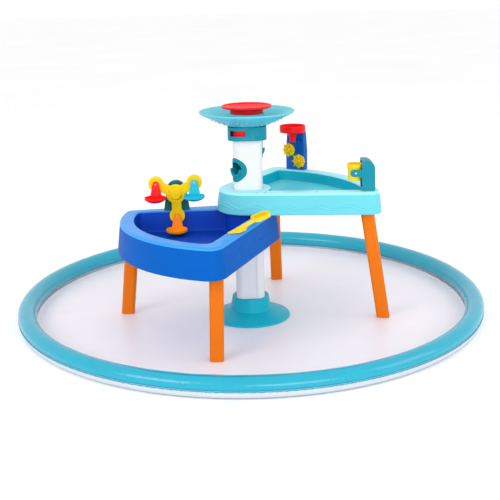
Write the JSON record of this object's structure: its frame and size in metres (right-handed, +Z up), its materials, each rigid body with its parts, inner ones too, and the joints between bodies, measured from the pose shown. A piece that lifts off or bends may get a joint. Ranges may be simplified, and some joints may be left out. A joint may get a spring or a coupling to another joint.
{
  "type": "sand and water table",
  "caption": "Two-level sand and water play table on splayed legs around a centre column with a rain dish, spinner, funnel tower and tipping bucket, standing in a round inflatable splash pad.",
  "frame": {"origin": "centre of the pad's ring on the ground", "axes": "+Z up; -Y is the side seen in front; +X points along the upper tray's front side"},
  "size_m": [1.6496, 1.6498, 0.7375],
  "materials": {
    "vinyl_teal": "glossy inflated vinyl",
    "vinyl_white": "thin printed-free vinyl",
    "teal": "moulded, satin",
    "teal_light": "moulded, satin",
    "teal_dark": "moulded, satin",
    "white": "moulded, satin",
    "blue": "moulded, satin",
    "orange": "moulded, satin",
    "yellow": "moulded, gloss",
    "red": "moulded, gloss",
    "steel": "plain"
  },
  "bodies": {
    "table": {"pad_ring": "vinyl_teal", "pad_floor": "vinyl_white", "valve_base": "vinyl_teal", "base_foot": "teal", "column_lower_left": "white", "column_lower_right": "white", "column_coupler": "white", "column_upper": "white", "window_frame_lower": "teal", "window_frame_upper": "teal", "spout_lower": "teal", "spout_upper": "teal", "dish_collar": "teal", "rain_dish": "teal_light", "tray_upper": "teal_light", "tray_lower": "blue", "leg_front": "orange", "leg_left": "orange", "leg_right": "orange", "leg_back": "orange", "spinner_post": "teal_dark", "spinner_axle": "steel", "tower": "blue", "tower_bracket": "teal", "funnel": "red", "bucket_post": "teal"},
    "diverter": {"top_bowl": "red", "bowl_neck": "red", "diverter_drum": "red"},
    "spinner": {"spinner_wheel": "yellow", "spinner_cap": "yellow"},
    "cup_teal": {"cup_teal": "teal"},
    "cup_red": {"cup_red": "red"},
    "cup_orange": {"cup_orange": "orange"},
    "wheel_upper": {"paddle_upper": "yellow"},
    "wheel_lower": {"paddle_lower": "yellow"},
    "bucket": {"tipping_bucket": "yellow"},
    "scoop": {"toy_scoop": "yellow"},
    "cap": {"valve_cap": "vinyl_teal"}
  },
  "joints": [
    {"name": "diverter_turn", "type": "hinge", "parent": "table", "child": "diverter", "pos_m": [0, -0.112, 0.7], "axis": [0, 0, 1], "range_deg": [-90, 90]},
    {"name": "spinner_spin", "type": "hinge", "parent": "table", "child": "spinner", "pos_m": [-0.246, -0.112, 0.443], "axis": [0, -1, 0], "continuous": true},
    {"name": "cup_teal_level", "type": "hinge", "parent": "spinner", "child": "cup_teal", "pos_m": [-0.18212, -0.1255, 0.4823], "axis": [0, -1, 0], "continuous": true},
    {"name": "cup_red_level", "type": "hinge", "parent": "spinner", "child": "cup_red", "pos_m": [-0.31197, -0.1255, 0.47867], "axis": [0, -1, 0], "continuous": true},
    {"name": "cup_orange_level", "type": "hinge", "parent": "spinner", "child": "cup_orange", "pos_m": [-0.24391, -0.1255, 0.36803], "axis": [0, -1, 0], "continuous": true},
    {"name": "wheel_upper_spin", "type": "hinge", "parent": "table", "child": "wheel_upper", "pos_m": [0.15107, 0.183, 0.533], "axis": [-0.4695, -0.8829, 0], "continuous": true},
    {"name": "wheel_lower_spin", "type": "hinge", "parent": "table", "child": "wheel_lower", "pos_m": [0.18656, 0.16412, 0.4935], "axis": [-0.4695, -0.8829, 0], "continuous": true},
    {"name": "bucket_tip", "type": "hinge", "parent": "table", "child": "bucket", "pos_m": [0.353, -0.182, 0.5194], "axis": [0, 1, 0], "range_deg": [-110, 12]},
    {"name": "scoop_lift", "type": "slide", "parent": "table", "child": "scoop", "axis": [0, 0, 1], "range_m": [0, 0.15]},
    {"name": "valve_cap_pull", "type": "slide", "parent": "table", "child": "cap", "axis": [0, 0, 1], "range_m": [0, 0.03]}
  ],
  "couplings": [
    {"joint": "cup_teal_level", "follows": "spinner_spin", "ratio": -1},
    {"joint": "cup_red_level", "follows": "spinner_spin", "ratio": -1},
    {"joint": "cup_orange_level", "follows": "spinner_spin", "ratio": -1}
  ]
}
